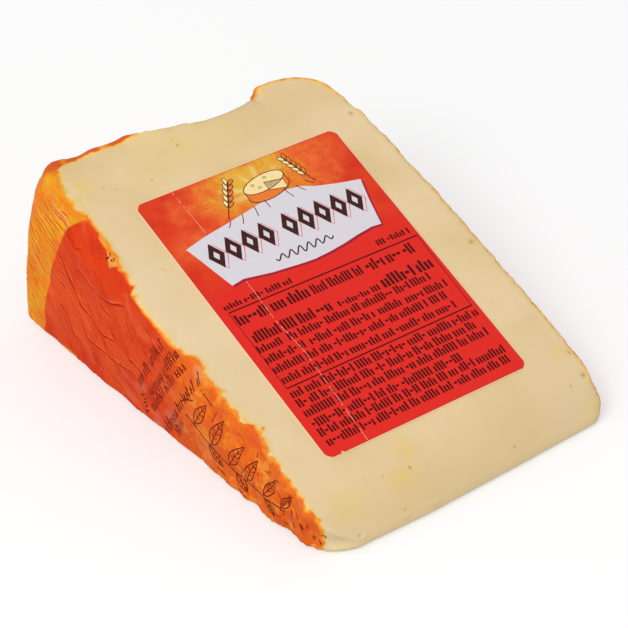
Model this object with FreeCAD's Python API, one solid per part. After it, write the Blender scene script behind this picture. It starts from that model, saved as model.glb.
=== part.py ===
import FreeCAD, Part
from FreeCAD import Rotation, Vector
from math import asin, cos, radians, sin, sqrt
import os

# A retail wedge of semi-soft cheese with a coloured washed rind, and the paper
# label on its upper cut face. All sizes are in millimetres and degrees.
#
# The wedge is a sector of a flat wheel. It lies on one of its two cut faces,
# so the axis of the wheel is level and runs along Y. X runs from the blunt
# tip out to the rim, and Z is up. Everything is drawn with the wheel's axis on
# the Y axis, and moved at the end so that the origin is under the middle.

# The wheel that the wedge was cut from
WHEEL_RADIUS = 106.2        # axis to rim, at the middle of the rim
RIM_FLARE = 1.7             # the rim leans: wider by this at +Y, slimmer at -Y
RIM_BULGE = 0.5             # how far the rim swells between its two shoulders
WHEEL_HEIGHT = 62.4         # between the edges of the two flat faces
FACE_CROWN = 1.1            # how far each flat face domes out from its edges
SHARP_SHOULDER_RADIUS = 3.5 # rounds the rim into the flat face at +Y
SOFT_SHOULDER_RADIUS = 10.0 # and into the other one, which the wheel aged on

# The cuts
WEDGE_ANGLE = 19.5          # between the two cut faces
TIP_SETBACK = 19.2          # the point is cut off this far from the wheel's axis
SOFT_TIP_RADIUS = 7.5       # the blunt tip's corner at +Y, seen from above
SHARP_TIP_RADIUS = 2.6      # and the one at -Y
TIP_WALL_HEIGHT = 2.6       # what stays upright of the tip, under the roll
TIP_ROLL_LENGTH = 10.4      # the last stretch of the upper face rolls down
CUT_EDGE_RADIUS = 0.6       # softened edge all round the upper cut face
REST_EDGE_BEVEL = 0.8       # edge pressed flat all round the face that it lies on

# The place on the upper rim edge where a strip of rind tore away
TEAR_DEPTH = 3.2            # in from the rim, where it is deepest
TEAR_RADIUS = 45.0          # of the shallow scoop
TEAR_MIDDLE_Y = -7.0        # where it is deepest
TEAR_STEP_Y = -16.6         # the tear stops in a step here

# The label, a sheet of coated paper stuck flat on the upper cut face
LABEL_THICKNESS = 0.2
LABEL_CORNER_RADIUS = 2.1
LABEL_RIM_MARGIN = 14.8     # from its rim end to the rim
LABEL_TIP_MARGIN = 1.3      # from its tip end to where the face rolls down
LABEL_SIDE_MARGIN = 9.1     # from its long edges to the flat faces, were it in the middle
LABEL_OFF_MIDDLE = 0.5      # it was stuck on this far towards -Y
LABEL_TURN = -1.9           # it was stuck on a little askew

WHEEL_AXIS = Vector(0, 1, 0)
AXIS_MIDDLE = Vector(0, 0, 0)
CLEAR_OF_PART = 20.0        # how far a tool's ends stand out past the wedge
SPARE_ANGLE = 3.0           # the uncut sector is this much wider on each side
ON_SURFACE = 0.01           # a point this near a surface counts as on it


def on_cut_face(reach, y):
    """The point of the upper cut face at this distance from the wheel's axis."""
    angle = radians(WEDGE_ANGLE)
    return Vector(reach * cos(angle), y, reach * sin(angle))


def off_cut_face():
    """The direction straight out of the upper cut face."""
    return Rotation(WHEEL_AXIS, -WEDGE_ANGLE).multVec(Vector(0, 0, 1))


def roll_start():
    """How far from the wheel's axis the upper cut face starts to roll down."""
    return TIP_SETBACK / cos(radians(WEDGE_ANGLE)) + TIP_ROLL_LENGTH


def tip_wall_top():
    """The top of the tip's wall, which bends round the wheel's axis."""
    rise = asin(TIP_WALL_HEIGHT / TIP_SETBACK)
    return Vector(TIP_SETBACK * cos(rise), 0, TIP_WALL_HEIGHT)


def tip_roll():
    """Centre and radius of the round that the upper face rolls down by.

    It leaves the cut face without a break, and meets the top of the tip's wall.
    """
    start = on_cut_face(roll_start(), 0)
    chord = tip_wall_top() - start
    inward = off_cut_face() * -1
    radius = chord.Length ** 2 / (2 * chord.dot(inward))
    return start + inward * radius, radius


def edge_samples(edge, count):
    """This many points evenly along an edge, both ends included."""
    step = (edge.LastParameter - edge.FirstParameter) / (count - 1)
    return [edge.valueAt(edge.FirstParameter + i * step) for i in range(count)]


def swelling_edge(start, end, swell):
    """An arc in the XY plane that swells out to the right of start to end."""
    along = (end - start).normalize()
    right = Vector(along.y, -along.x, 0)
    middle = (start + end) * 0.5 + right * swell
    return Part.Arc(start, middle, end).toShape()


def redrawn(edge):
    """The same edge of a flat outline as an exact arc or line."""
    start, middle, end = edge_samples(edge, 3)
    if (middle - (start + end) * 0.5).Length < ON_SURFACE / 1000:
        return Part.makeLine(start, end)
    return Part.Arc(start, middle, end).toShape()


def standing_edges(slab, nearest, farthest):
    """The edges that stand upright in a slab, between two places along X."""
    found = []
    for edge in slab.Edges:
        upright = abs(edge.tangentAt(edge.FirstParameter).z) > 0.99
        if upright and nearest < edge.CenterOfMass.x < farthest:
            found.append(edge)
    return found


def wheel_section():
    """Half the wheel's section, from the blunt tip to the rim, as one face.

    The corners are rounded on a thin slab of the section, and the outline of
    the slab's underside is then redrawn as a chain of exact arcs.
    """
    half = WHEEL_HEIGHT / 2
    inner_low = Vector(TIP_SETBACK, -half, 0)
    outer_low = Vector(WHEEL_RADIUS - RIM_FLARE, -half, 0)
    outer_high = Vector(WHEEL_RADIUS + RIM_FLARE, half, 0)
    inner_high = Vector(TIP_SETBACK, half, 0)
    outline = Part.Wire([
        swelling_edge(inner_low, outer_low, FACE_CROWN),
        swelling_edge(outer_low, outer_high, RIM_BULGE),
        swelling_edge(outer_high, inner_high, FACE_CROWN),
        Part.makeLine(inner_high, inner_low),
    ])
    slab = Part.Face(outline).extrude(Vector(0, 0, 1))
    at_rim = ((TIP_SETBACK + WHEEL_RADIUS) / 2, WHEEL_RADIUS + CLEAR_OF_PART)
    at_tip = (0, at_rim[0])
    rounds = ((at_rim, min, SOFT_SHOULDER_RADIUS), (at_rim, max, SHARP_SHOULDER_RADIUS),
              (at_tip, min, SHARP_TIP_RADIUS), (at_tip, max, SOFT_TIP_RADIUS))
    for stretch, pick, radius in rounds:
        corner = pick(standing_edges(slab, *stretch), key=lambda edge: edge.CenterOfMass.y)
        slab = slab.makeFillet(radius, [corner])
    underside = min(slab.Faces, key=lambda face: face.CenterOfMass.z)
    return Part.Face(Part.Wire([redrawn(edge) for edge in underside.OuterWire.OrderedEdges]))


def uncut_sector():
    """The section turned about the wheel's axis, a little past both cuts."""
    section = wheel_section()
    section.rotate(AXIS_MIDDLE, WHEEL_AXIS, SPARE_ANGLE)
    return section.revolve(AXIS_MIDDLE, WHEEL_AXIS, -(WEDGE_ANGLE + 2 * SPARE_ANGLE))


def side_profile():
    """A long block with the wedge's side view: table, cut face and tip roll."""
    start = on_cut_face(roll_start(), 0)
    middle, radius = tip_roll()
    # The round goes on past the tip's wall until it meets the table.
    roll_end = Vector(middle.x - sqrt(radius ** 2 - middle.z ** 2), 0, 0)
    far_top = on_cut_face(WHEEL_RADIUS + CLEAR_OF_PART, 0)
    far_low = Vector(far_top.x, 0, 0)
    outline = Part.Wire([
        Part.Arc(start, tip_wall_top(), roll_end).toShape(),
        Part.makeLine(roll_end, far_low),
        Part.makeLine(far_low, far_top),
        Part.makeLine(far_top, start),
    ])
    length = WHEEL_HEIGHT + 2 * CLEAR_OF_PART
    side = Part.Face(outline)
    side.translate(Vector(0, -length / 2, 0))
    return side.extrude(Vector(0, length, 0))


def rest_edges(wedge):
    """The edges round the cut face that the wedge lies on."""
    return [edge for edge in wedge.Edges if edge.BoundBox.ZMax < ON_SURFACE]


def upper_edges(wedge):
    """The edges round the upper cut face together with the roll at its end."""
    middle, radius = tip_roll()
    found = []
    for edge in wedge.Edges:
        points = edge_samples(edge, 5)
        on_face = all(abs(point.dot(off_cut_face())) < ON_SURFACE for point in points)
        spokes = [Vector(point.x - middle.x, 0, point.z - middle.z) for point in points]
        on_roll = all(abs(spoke.Length - radius) < ON_SURFACE for spoke in spokes)
        if on_face != on_roll:
            found.append(edge)
    return found


def tear():
    """A shallow scoop out of the rim's upper edge, ending in a step at one side."""
    middle = on_cut_face(WHEEL_RADIUS + TEAR_RADIUS - TEAR_DEPTH, TEAR_MIDDLE_Y)
    scoop = Part.makeSphere(TEAR_RADIUS, middle)
    size = 2 * TEAR_RADIUS + CLEAR_OF_PART
    corner = Vector(middle.x - size / 2, TEAR_STEP_Y, middle.z - size / 2)
    return scoop.common(Part.makeBox(size, size, size, corner))


def cheese_wedge():
    """The paste with its rind, one solid."""
    wedge = uncut_sector().common(side_profile()).Solids[0]
    wedge = wedge.makeChamfer(REST_EDGE_BEVEL, rest_edges(wedge))
    wedge = wedge.makeFillet(CUT_EDGE_RADIUS, upper_edges(wedge))
    return wedge.cut(tear()).Solids[0]


def label():
    """The label, drawn flat and tipped up onto the upper cut face."""
    tip_end = roll_start() + LABEL_TIP_MARGIN
    rim_end = WHEEL_RADIUS - LABEL_RIM_MARGIN
    length = rim_end - tip_end
    width = WHEEL_HEIGHT - 2 * LABEL_SIDE_MARGIN
    sheet = Part.makeBox(length, width, LABEL_THICKNESS, Vector(-length / 2, -width / 2, 0))
    sheet = sheet.makeFillet(LABEL_CORNER_RADIUS, standing_edges(sheet, -length, length))
    sheet.rotate(AXIS_MIDDLE, Vector(0, 0, 1), LABEL_TURN)
    sheet.translate(Vector((tip_end + rim_end) / 2, -LABEL_OFF_MIDDLE, 0))
    sheet.rotate(AXIS_MIDDLE, WHEEL_AXIS, -WEDGE_ANGLE)
    return sheet


wedge = cheese_wedge()
outer_box = wedge.optimalBoundingBox(False, False)
to_origin = Vector(-outer_box.Center.x, -outer_box.Center.y, -outer_box.ZMin)

os.makedirs("parts", exist_ok=True)
for name, shape in (("cheese_wedge", wedge), ("label", label())):
    shape.translate(to_origin)
    shape.exportStep("parts/" + name + ".step")
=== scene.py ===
import math
import random

import bmesh
import bpy
import numpy as np
from mathutils import Matrix, Vector, noise
from mathutils.bvhtree import BVHTree


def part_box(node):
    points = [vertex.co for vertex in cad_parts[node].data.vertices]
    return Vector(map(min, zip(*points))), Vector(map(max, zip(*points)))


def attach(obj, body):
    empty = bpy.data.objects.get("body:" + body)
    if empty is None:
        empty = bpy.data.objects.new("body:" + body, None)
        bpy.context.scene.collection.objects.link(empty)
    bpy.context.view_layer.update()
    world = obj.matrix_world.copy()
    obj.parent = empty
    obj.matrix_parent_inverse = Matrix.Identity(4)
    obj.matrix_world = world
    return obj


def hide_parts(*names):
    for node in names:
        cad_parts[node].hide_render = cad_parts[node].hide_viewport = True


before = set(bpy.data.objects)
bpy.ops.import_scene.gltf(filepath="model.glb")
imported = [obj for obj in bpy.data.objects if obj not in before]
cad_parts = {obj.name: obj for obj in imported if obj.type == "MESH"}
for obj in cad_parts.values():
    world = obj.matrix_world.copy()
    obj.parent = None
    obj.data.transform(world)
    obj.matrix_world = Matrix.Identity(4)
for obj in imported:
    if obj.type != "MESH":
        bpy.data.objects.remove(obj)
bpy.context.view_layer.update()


# ---------------------------------------------------------------- The cheese
# A wedge cut from a flat wheel of semi-soft cheese: pale springy paste under a
# thin washed rind. The rind was dyed amber and its flat faces printed red, and
# the wheel was then wrapped tight, which pleated and creased the rind.

MM = 0.001
TIP_SETBACK = 19.2              # the blunt tip, from the axis of the wheel, in mm
TIP_WALL_HEIGHT = 2.6
TIP_ROLL_LENGTH = 10.4
CUT_ANGLE = math.radians(19.5)
WHEEL_RADIUS = 106.2
RIM_FLARE = 1.7                 # the rim leans out at +Y
RIM_BULGE = 0.5
HALF_HEIGHT = 31.2
FACE_CROWN = 1.1
SHARP_SHOULDER = 3.5            # between the rim and the flat face at +Y
SOFT_SHOULDER = 10.0            # and at -Y

PASTE_QUAD = 0.88               # size of a mesh face on the paste, in mm
PRINT_RADIUS = 100.5            # the red print on the wheel's flat faces


def ramp(value, start, end):
    """0 before start, 1 after end, and smooth in between."""
    share = np.clip((value - start) / (end - start), 0, 1)
    return share * share * (3 - 2 * share)


def stood(name, data):
    """Puts a mesh, a lamp or a camera in the scene under this name."""
    thing = bpy.data.objects.new(name, data)
    bpy.context.scene.collection.objects.link(thing)
    return thing


def remeshed(source, size):
    """A closed copy of a CAD node in even quads, and the node's surface to press it back onto."""
    work = bmesh.new()
    work.from_mesh(source.data)
    bmesh.ops.remove_doubles(work, verts=work.verts, dist=MM / 1000)
    surface = BVHTree.FromBMesh(work)
    mesh = bpy.data.meshes.new("merged")
    work.to_mesh(mesh)
    work.free()
    merged = stood("merged", mesh)
    voxels = merged.modifiers.new("voxels", "REMESH")
    voxels.mode = "VOXEL"
    voxels.voxel_size = size
    depsgraph = bpy.context.evaluated_depsgraph_get()
    made = bpy.data.meshes.new_from_object(merged.evaluated_get(depsgraph))
    bpy.data.objects.remove(merged)
    fine = bmesh.new()
    fine.from_mesh(made)
    return fine, surface


def press_onto(shape, surface):
    for vertex in shape.verts:
        vertex.co = surface.find_nearest(vertex.co)[0]


wheel_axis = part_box("cheese_wedge")[0].x / MM - math.sqrt(TIP_SETBACK ** 2 - TIP_WALL_HEIGHT ** 2)


def wheel_places(shape):
    """Each vertex as x from the wheel's axis, y along it and z up, in mm."""
    places = np.array([vertex.co for vertex in shape.verts]) / MM
    places[:, 0] -= wheel_axis
    return places


def face_place(reach):
    """How far the wheel's flat faces stand from its middle, at this reach."""
    middle = (WHEEL_RADIUS + TIP_SETBACK) / 2
    return HALF_HEIGHT + FACE_CROWN * (1 - ((reach - middle) / (WHEEL_RADIUS - middle)) ** 2)


def rind_depth(x, y, z):
    """How far inside the wheel's outer skin a place is, in mm."""
    reach = np.hypot(x, z)
    height = y / HALF_HEIGHT
    from_rim = WHEEL_RADIUS + RIM_FLARE * height + RIM_BULGE * (1 - height ** 2) - reach
    from_face = face_place(reach) - np.abs(y)
    shoulder = np.where(y > 0, SHARP_SHOULDER, SOFT_SHOULDER)
    corner = np.hypot(np.maximum(shoulder - from_rim, 0), np.maximum(shoulder - from_face, 0))
    in_corner = (from_rim < shoulder) & (from_face < shoulder)
    return np.where(in_corner, shoulder - corner, np.minimum(from_rim, from_face))


def along_cut(x, z):
    """How far from the wheel's axis a place is, measured along the upper cut face."""
    return x * math.cos(CUT_ANGLE) + z * math.sin(CUT_ANGLE)


def under_cut(x, z):
    """How far under the upper cut face, or under the roll at its tip end, a place is."""
    sine, cosine = math.sin(CUT_ANGLE), math.cos(CUT_ANGLE)
    start = TIP_SETBACK / cosine + TIP_ROLL_LENGTH
    wall_top = np.array([math.sqrt(TIP_SETBACK ** 2 - TIP_WALL_HEIGHT ** 2), TIP_WALL_HEIGHT])
    roll_start = start * np.array([cosine, sine])
    chord = wall_top - roll_start
    inward = np.array([sine, -cosine])
    radius = chord @ chord / (2 * chord @ inward)
    middle = roll_start + inward * radius
    under_face = x * sine - z * cosine
    under_roll = radius - np.hypot(x - middle[0], z - middle[1])
    return np.where(x * cosine + z * sine > start, under_face, under_roll)


cheese, bare_skin = remeshed(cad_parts["cheese_wedge"], PASTE_QUAD * MM)
press_onto(cheese, bare_skin)


def refine(shape, cuts, wanted):
    """Splits the mesh more finely where wanted says, from the middles of the faces."""
    shape.faces.ensure_lookup_table()
    middles = np.array([face.calc_center_median() for face in shape.faces]) / MM
    middles[:, 0] -= wheel_axis
    chosen = wanted(*middles.T)
    edges = {edge for face, take in zip(shape.faces, chosen) if take for edge in face.edges}
    bmesh.ops.subdivide_edges(shape, edges=list(edges), cuts=cuts, use_grid_fill=True)


# Small pits in the paste: (reach, y, size), in mm
PITS = [
    (98.1, 22.9, 0.16), (96.6, 20.9, 0.14), (95.7, 13.9, 0.2), (101.9, 5.1, 0.14), (100.3, 4.9, 0.24),
    (78.4, 24.1, 0.17), (25.3, 10.2, 0.3), (26.0, 15.6, 0.14), (19.8, 14.6, 0.17), (19.3, 24.8, 0.2),
    (17.1, 19.0, 0.2), (18.2, 8.3, 0.2), (24.8, -26.6, 0.2), (20.5, -10.3, 0.17), (31.5, -19.0, 0.14),
    (58.0, -30.6, 0.5), (92.3, -29.8, 0.4), (30.3, -30.8, 0.45), (25.5, -30.2, 0.4),
]


def near_pits(x, y, z):
    found = np.zeros(len(x), bool)
    for reach, across, size in PITS:
        found |= (np.hypot(along_cut(x, z) - reach, y - across) < 3 * size + 0.5) & (under_cut(x, z) < 0.5)
    return found


def lapped_edge(x, y, z):
    """The strip of the cut face that rind laps over, and the rind's rim strip."""
    depth = rind_depth(x, y, z)
    beside = (depth > 1.0) & (depth < 5.0) & (y > 23)
    return (beside | ((depth < 3.0) & (y < 23) & (x > 90))) & (under_cut(x, z) < 0.7)


refine(cheese, 3, lambda x, y, z: (rind_depth(x, y, z) < 1.0) & (y > 25))
refine(cheese, 1, lambda x, y, z: (rind_depth(x, y, z) < 0.4) & (y < -22) & (z > 0.4))
refine(cheese, 2, lapped_edge)
refine(cheese, 3, near_pits)
press_onto(cheese, bare_skin)
bmesh.ops.smooth_vert(cheese, verts=cheese.verts, factor=0.4, use_axis_x=True, use_axis_y=True,
                      use_axis_z=True)
cheese.normal_update()

spot = wheel_places(cheese)
x, y, z = spot.T
reach = np.hypot(x, z)
angle = np.degrees(np.arctan2(z, x))
along = along_cut(x, z)
out = np.array([vertex.normal for vertex in cheese.verts])
depth = rind_depth(x, y, z)
from_cut = under_cut(x, z)
from_rim = WHEEL_RADIUS + RIM_FLARE * y / HALF_HEIGHT - reach


def lumps(places, seed):
    """Soft lumps one unit across, from -1 to 1."""
    return np.array([noise.noise(Vector(place)) for place in places + 17.3 * seed])


def grain(across, along_it, tilt, seed, slack):
    """Lumps drawn out along a line that tilts up from the table by this many degrees."""
    turn = math.radians(tilt)
    slack_x, slack_z = x + slack[:, 0], z + slack[:, 2]
    forward = slack_x * math.cos(turn) + slack_z * math.sin(turn)
    sideways = slack_z * math.cos(turn) - slack_x * math.sin(turn)
    return lumps(np.column_stack((forward / along_it, sideways / across, y / along_it)), seed)


def read_off(table, place):
    """What a table of (place, amount) pairs gives at a place between its rows."""
    return np.interp(place, *zip(*table))


# The knife dragged the rind over the edge of the cut face: (reach, y where the paste begins), in mm
LAPS = [
    (18, 30.4), (26, 31.2), (34, 30.9), (38, 30.3), (42, 29.7), (44.5, 29.3), (45.5, 30.2), (50, 30.5),
    (54, 30.7), (56.5, 30.7), (58, 29.9), (60.5, 30.0), (62, 31.1), (64, 31.8), (68, 31.9), (70, 32.0),
    (71.5, 32.6), (73, 32.3), (76.5, 32.0), (77.5, 30.8), (82, 30.2), (86, 29.6), (88, 29.3), (92, 29.1),
    (94, 28.9), (95.5, 30.2), (98, 29.7), (100, 29.9), (102, 29.1), (104, 28.0), (106, 25.6), (108, 25.0),
]
# and a little over the edge by the rim: (y, how far)
RIM_LAPS = [
    (-31, 0.1), (-24, 0.15), (-18, 0.3), (-15, 0.9), (-13, 0.4), (-9.5, 0.3), (-8.5, 0.0), (3, 0.0),
    (5, 0.4), (9, 0.7), (13, 1.2), (18, 1.1), (21, 0.8), (25, 1.4), (28, 2.2), (31, 2.8),
]
lap = face_place(along) - read_off(LAPS, along)
lap = np.where(y > 20, np.clip(lap, 0, 6), 0)
lean_share = 0.6 - 0.38 * ramp(along, 98, 104)
rim_lap = read_off(RIM_LAPS, y)

# Above 0 is rind and below 0 is paste, in mm
past_tip = np.abs(y) - face_place(reach) + x - TIP_SETBACK
by_rim = from_rim < 12
seen_lap = np.where(by_rim & (from_rim < face_place(along) - np.abs(y)), rim_lap, (1 - lean_share) * lap)
rind_edge = np.minimum(np.minimum(from_cut + seen_lap, z), past_tip * 0.7 - 0.8) - depth
# A strip of rind tore away from the edge by the rim and left the paste bare
rind_edge = np.where(by_rim & (from_cut > 0.7), np.minimum(rind_edge, 3 * (1.0 - depth)), rind_edge)
tooth = lumps(spot / 1.3, 2)
rind_edge = rind_edge + 0.3 * lumps(spot / 2.6, 1) + 0.2 * lumps(spot / 0.5, 3)
raggedness = np.where(y > 0, 1.1 + 1.5 * ramp(-x, -60, -44), 0.1)
rind_edge = rind_edge + raggedness * tooth * np.abs(tooth)

on_rind = ramp(rind_edge, -0.3, 0.6)
height = np.zeros(len(x))
fold = np.zeros(len(x))

# The rind is slack over the whole wheel and puffs a little off the paste
height += on_rind * (0.12 + 0.22 * lumps(spot / 9, 3) + 0.10 * lumps(spot / 4, 4))

# The red print stops short of the rim, and its top corner is rounded: (down the side, further in)
PRINT_CORNER = [(-3.4, 5.4), (-2.6, 3.8), (-1.6, 2.8), (-0.6, 2.0), (0.6, 1.4), (2, 0.8), (4, 0.3), (6.5, 0)]
red_edge = PRINT_RADIUS - 0.27 * angle - reach + 0.35 * lumps(spot / 2.5, 7)
red_edge -= read_off(PRINT_CORNER, from_cut - depth) * (y > 0)
# and along the cut edge it leaves a fringe of rind bare: (reach, how wide)
FRINGE = [
    (20, 0.45), (60, 0.35), (78, 0.3), (84, 0.5), (86, 1.1), (87.5, 1.2), (89.5, 0.7), (91.5, 0.25),
    (96, 0.2),
]
printed_to = rind_edge - read_off(FRINGE, along) - 0.3 * lumps(spot / 1.6, 8)
red_edge = np.where(y > 0, np.minimum(red_edge, printed_to), red_edge)


def line_gap(line):
    """How far each vertex is from a line of (x, z) places, the side it is on, and how far along it is."""
    nearest = np.full(len(x), 1e3)
    side = np.zeros(len(x))
    share_along = np.zeros(len(x))
    for number, ((x0, z0), (x1, z1)) in enumerate(zip(line, line[1:])):
        length = math.hypot(x1 - x0, z1 - z0)
        share = np.clip(((x - x0) * (x1 - x0) + (z - z0) * (z1 - z0)) / length ** 2, 0, 1)
        gap = np.hypot(x - x0 - share * (x1 - x0), z - z0 - share * (z1 - z0))
        above = (x - x0) * (z1 - z0) - (z - z0) * (x1 - x0)
        closer = gap < nearest
        side = np.where(closer, np.sign(above), side)
        share_along = np.where(closer, (number + share) / (len(line) - 1), share_along)
        nearest = np.where(closer, gap, nearest)
    return nearest, side, share_along


wander = lumps(spot / 3, 21)
fine_wander = lumps(spot / 1.1, 22)


def pressed_fold(line, lip_size, groove_size, width):
    """A fold in the rind along a line, a lip beside a groove: how high it is, and its painted highlight on
    the lip and painted shade in the groove.
    """
    gap, side, share = line_gap(line)
    signed = gap * side + 0.35 * wander + 0.1 * fine_wander
    fade = ramp(share, 0, 0.12) * ramp(-share, -1, -0.8) * (gap < 2) * ramp(y, 18, 27) * on_rind
    groove = groove_size * np.exp(-(signed / width) ** 2) * fade
    lip = lip_size * np.exp(-((signed - 1.9 * width) / width) ** 2) * fade
    # the second value is painted light: above 0 a highlight on the lip, below 0 shade in the groove
    return lip - groove, 5 * lip - 13 * groove


def bent_line(start_x, start_z, tilt, length, bend):
    """A line from a place down towards the tip, at this many degrees, bent in its middle."""
    run = math.cos(math.radians(tilt)) * length
    fall = math.sin(math.radians(tilt)) * length
    middle = (start_x - run / 2, start_z - fall / 2 + bend)
    return [(start_x, start_z), middle, (start_x - run, start_z - fall)]


# Pleats over the shoulder, drawn tight: they start by the rim and fan down over the print
chance = random.Random(4)
PLEAT_STARTS = [
    (97.5, 32.3), (99.8, 29.5), (101.3, 26.0), (102.2, 22.0), (102.9, 17.5), (103.3, 13.0), (103.4, 8.0),
]
PLEATS = 52
starts_x, starts_z = zip(*PLEAT_STARTS)
folds = []
for share in np.linspace(0, 1, PLEATS):
    start_x = np.interp(share * 6, range(7), starts_x) + chance.uniform(-0.8, 0.6)
    start_z = np.interp(share * 6, range(7), starts_z)
    tilt = 12 + 42 * share + chance.uniform(-5, 5)
    length = chance.uniform(6.0, 9.5) * (1 - 0.3 * share)
    bend = chance.uniform(-0.5, 0.3)
    strength = chance.uniform(0.6, 1.1) * (1 if share < 0.6 else 0.9)
    line = bent_line(start_x, start_z, tilt, length, bend)
    folds.append((line, 0.12 * strength, 0.07 * strength, 0.17))

# Short ones on the shoulder itself, which run on over the rim
SHOULDER_PLEATS = 46
for degrees in np.linspace(1.5, 18, SHOULDER_PLEATS):
    turn = math.radians(degrees + chance.uniform(-0.3, 0.3))
    start_x = (WHEEL_RADIUS + 0.2) * math.cos(turn)
    start_z = (WHEEL_RADIUS + 0.2) * math.sin(turn)
    tilt = chance.uniform(26, 52)
    line = bent_line(start_x, start_z, tilt, chance.uniform(3.0, 6.5), chance.uniform(-0.4, 0.4))
    strength = chance.uniform(0.4, 1.0)
    folds.append((line, 0.11 * strength, 0.07 * strength, 0.17))

# The long creases, and then the many short ones: (x, z) places in mm
CREASES = [
    [(95, 23), (91, 19), (87, 14.5), (80, 12), (75, 13)],
    [(89, 22), (85, 21), (81, 20), (77, 20.5), (73, 22.5)],
    [(81, 19), (80, 18), (78.5, 17)],
    [(95, 11), (91.5, 10), (90, 7), (88.5, 5)],
    [(87.5, 11), (84.5, 8.5), (78, 8.5), (71, 9), (69, 7.5)],
    [(83, 4.5), (82, 2)],
    [(97, 17), (94, 16), (91.5, 15)],
    [(73, 12), (70, 11), (68, 10)],
]
folds += [(line, 0.15, 0.10, 0.2) for line in CREASES]
for number in range(170):
    start_x = chance.uniform(60, 99)
    start_z = chance.uniform(0.5, 0.33 * start_x)
    tilt = chance.gauss(38, 14)
    line = bent_line(start_x, start_z, tilt, chance.uniform(2.0, 7.0), chance.uniform(-0.8, 0.8))
    strength = chance.uniform(0.3, 1.0)
    folds.append((line, 0.08 * strength, 0.06 * strength, 0.16))
for number in range(90):
    start_x = chance.uniform(27, 64)
    start_z = chance.uniform(0.3, 0.33 * start_x)
    tilt = chance.choice((35, 35, 100, 150, 10)) + chance.gauss(0, 16)
    line = bent_line(start_x, start_z, tilt, chance.uniform(1.2, 4.0), chance.uniform(-0.5, 0.5))
    strength = chance.uniform(0.3, 1.0)
    folds.append((line, 0.10 * strength, 0.06 * strength, 0.17))
for pressed in folds:
    rise, mark = pressed_fold(*pressed)
    height += rise
    fold += mark

# The crumpled end of the rind by the tip
crumple = on_rind * ramp(-x, -52, -34) * (y > 0)
crumpled = lumps(spot / 1.5, 13)
height += crumple * (0.40 * lumps(spot / 3.2, 12) + 0.22 * crumpled)
# painted light and shade over the crumpled lumps, lighter on the high ones
fold += 0.7 * crumple * crumpled
slack = np.column_stack((lumps(spot / 5, 51), 0 * x, lumps(spot / 5, 52))) * 1.8
for across_it, along_it, tilt, seed, size in ((1.8, 6.5, 33, 9, 0.05), (2.3, 4.5, 12, 11, 0.04)):
    wrinkle = grain(across_it, along_it, tilt, seed, slack)
    ridge = np.clip(1 - np.abs(wrinkle) / 0.16, 0, 1) ** 2
    height += on_rind * size * ridge
    # painted highlight on the wrinkle ridges and painted shade beside them
    fold += 3.0 * on_rind * size * (ridge - 0.5 * np.clip(1 - np.abs(wrinkle - 0.16) / 0.1, 0, 1))
# Streaks of painted highlight and painted shade along the fine wrinkles
streak = grain(2.2, 7.0, 36, 71, slack) + 0.6 * grain(1.0, 4.0, 40, 72, slack)
blotch = lumps(spot / 2.2, 73) + 0.6 * lumps(spot / 0.9, 74)

# Uneven paste, flat under the label
FLAT_FROM = 33.0
FLAT_TO = 91.5
FLAT_HALF_WIDTH = 22.8
by_label = np.maximum(np.maximum(FLAT_FROM - along, along - FLAT_TO), np.abs(y + 0.5) - FLAT_HALF_WIDTH)
bare = np.where(from_cut < 1.0, ramp(by_label, 0.6, 2.5), 1.0)
height += bare * (0.10 * lumps(spot / 8, 14) + 0.04 * lumps(spot / 3, 15)) * ramp(z, 0.3, 3)
near_corner = ramp(-np.minimum(depth, 3), -2.5, 0) * ramp(-from_cut, -2.5, 0)
height += 0.3 * near_corner * lumps(spot / 4, 16)
height += 0.25 * ramp(-np.abs(rind_edge), -0.6, 0) * tooth * (z > 1)

# Painted shade: the paste is coloured darker inside each pit
pit = np.zeros(len(x))
for cut_reach, across, size in PITS:
    gap = np.hypot(along - cut_reach, y - across)
    mark = np.exp(-(gap / size) ** 2) * (from_cut < 1)
    pit = np.maximum(pit, mark)
    height -= 0.25 * mark

# Nothing sinks into the table
height = np.where(z < 0.6, np.minimum(height, 0) * 0.2, height)
moved = spot + out * height[:, None]

# The face leans in over its last few mm to the cut, and tucks in to the table
beside = ramp(y, 20, 30)
moved[:, 1] -= beside * lean_share * lap * (1 - ramp(from_cut, 0, 7))
moved[:, 1] -= beside * (0.75 * (face_place(reach) - HALF_HEIGHT) + 0.1) * (1 - ramp(z, 0, 11))
base_waves = lumps(np.column_stack((x / 2.8, 0 * x, z / 4)), 61)
moved[:, 1] += beside * base_waves * (0.25 + 0.45 * ramp(-x, -52, -34)) * (1 - ramp(z, 1, 6))
# The cut edge by the rim sags: (y, how far)
SAG = [
    (-20, 0.1), (-17, 0.5), (-15.3, 1.3), (-13.5, 0.4), (-12, 0.0), (-4, -0.2), (-1, -0.9), (1.5, -0.9),
    (4, -0.4), (6, -0.4), (8.3, 0.0), (10.8, 0.8), (13.3, 1.5), (18.5, 1.5), (21, 2.0), (23.4, 1.75),
    (25.7, 1.4), (28, 0.9), (31, 0.8),
]
droop = read_off(SAG, y) * np.exp(-(np.maximum(from_rim, 0) / 3.5) ** 2)
droop += 0.2 * np.exp(-(np.hypot(from_rim, face_place(reach) - y) / 6) ** 2) * (y > 0)
droop *= 1 - ramp(from_cut, 0, 9)
moved[:, 0] += droop * math.sin(CUT_ANGLE)
moved[:, 2] -= droop * math.cos(CUT_ANGLE)
# The far corner by the rim is rubbed round
moved[:, 1] += 1.2 * np.exp(-((along - 96.5) / 5) ** 2) * (1 - ramp(from_cut, 0, 10)) * ramp(-y, 18, 28)
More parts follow.
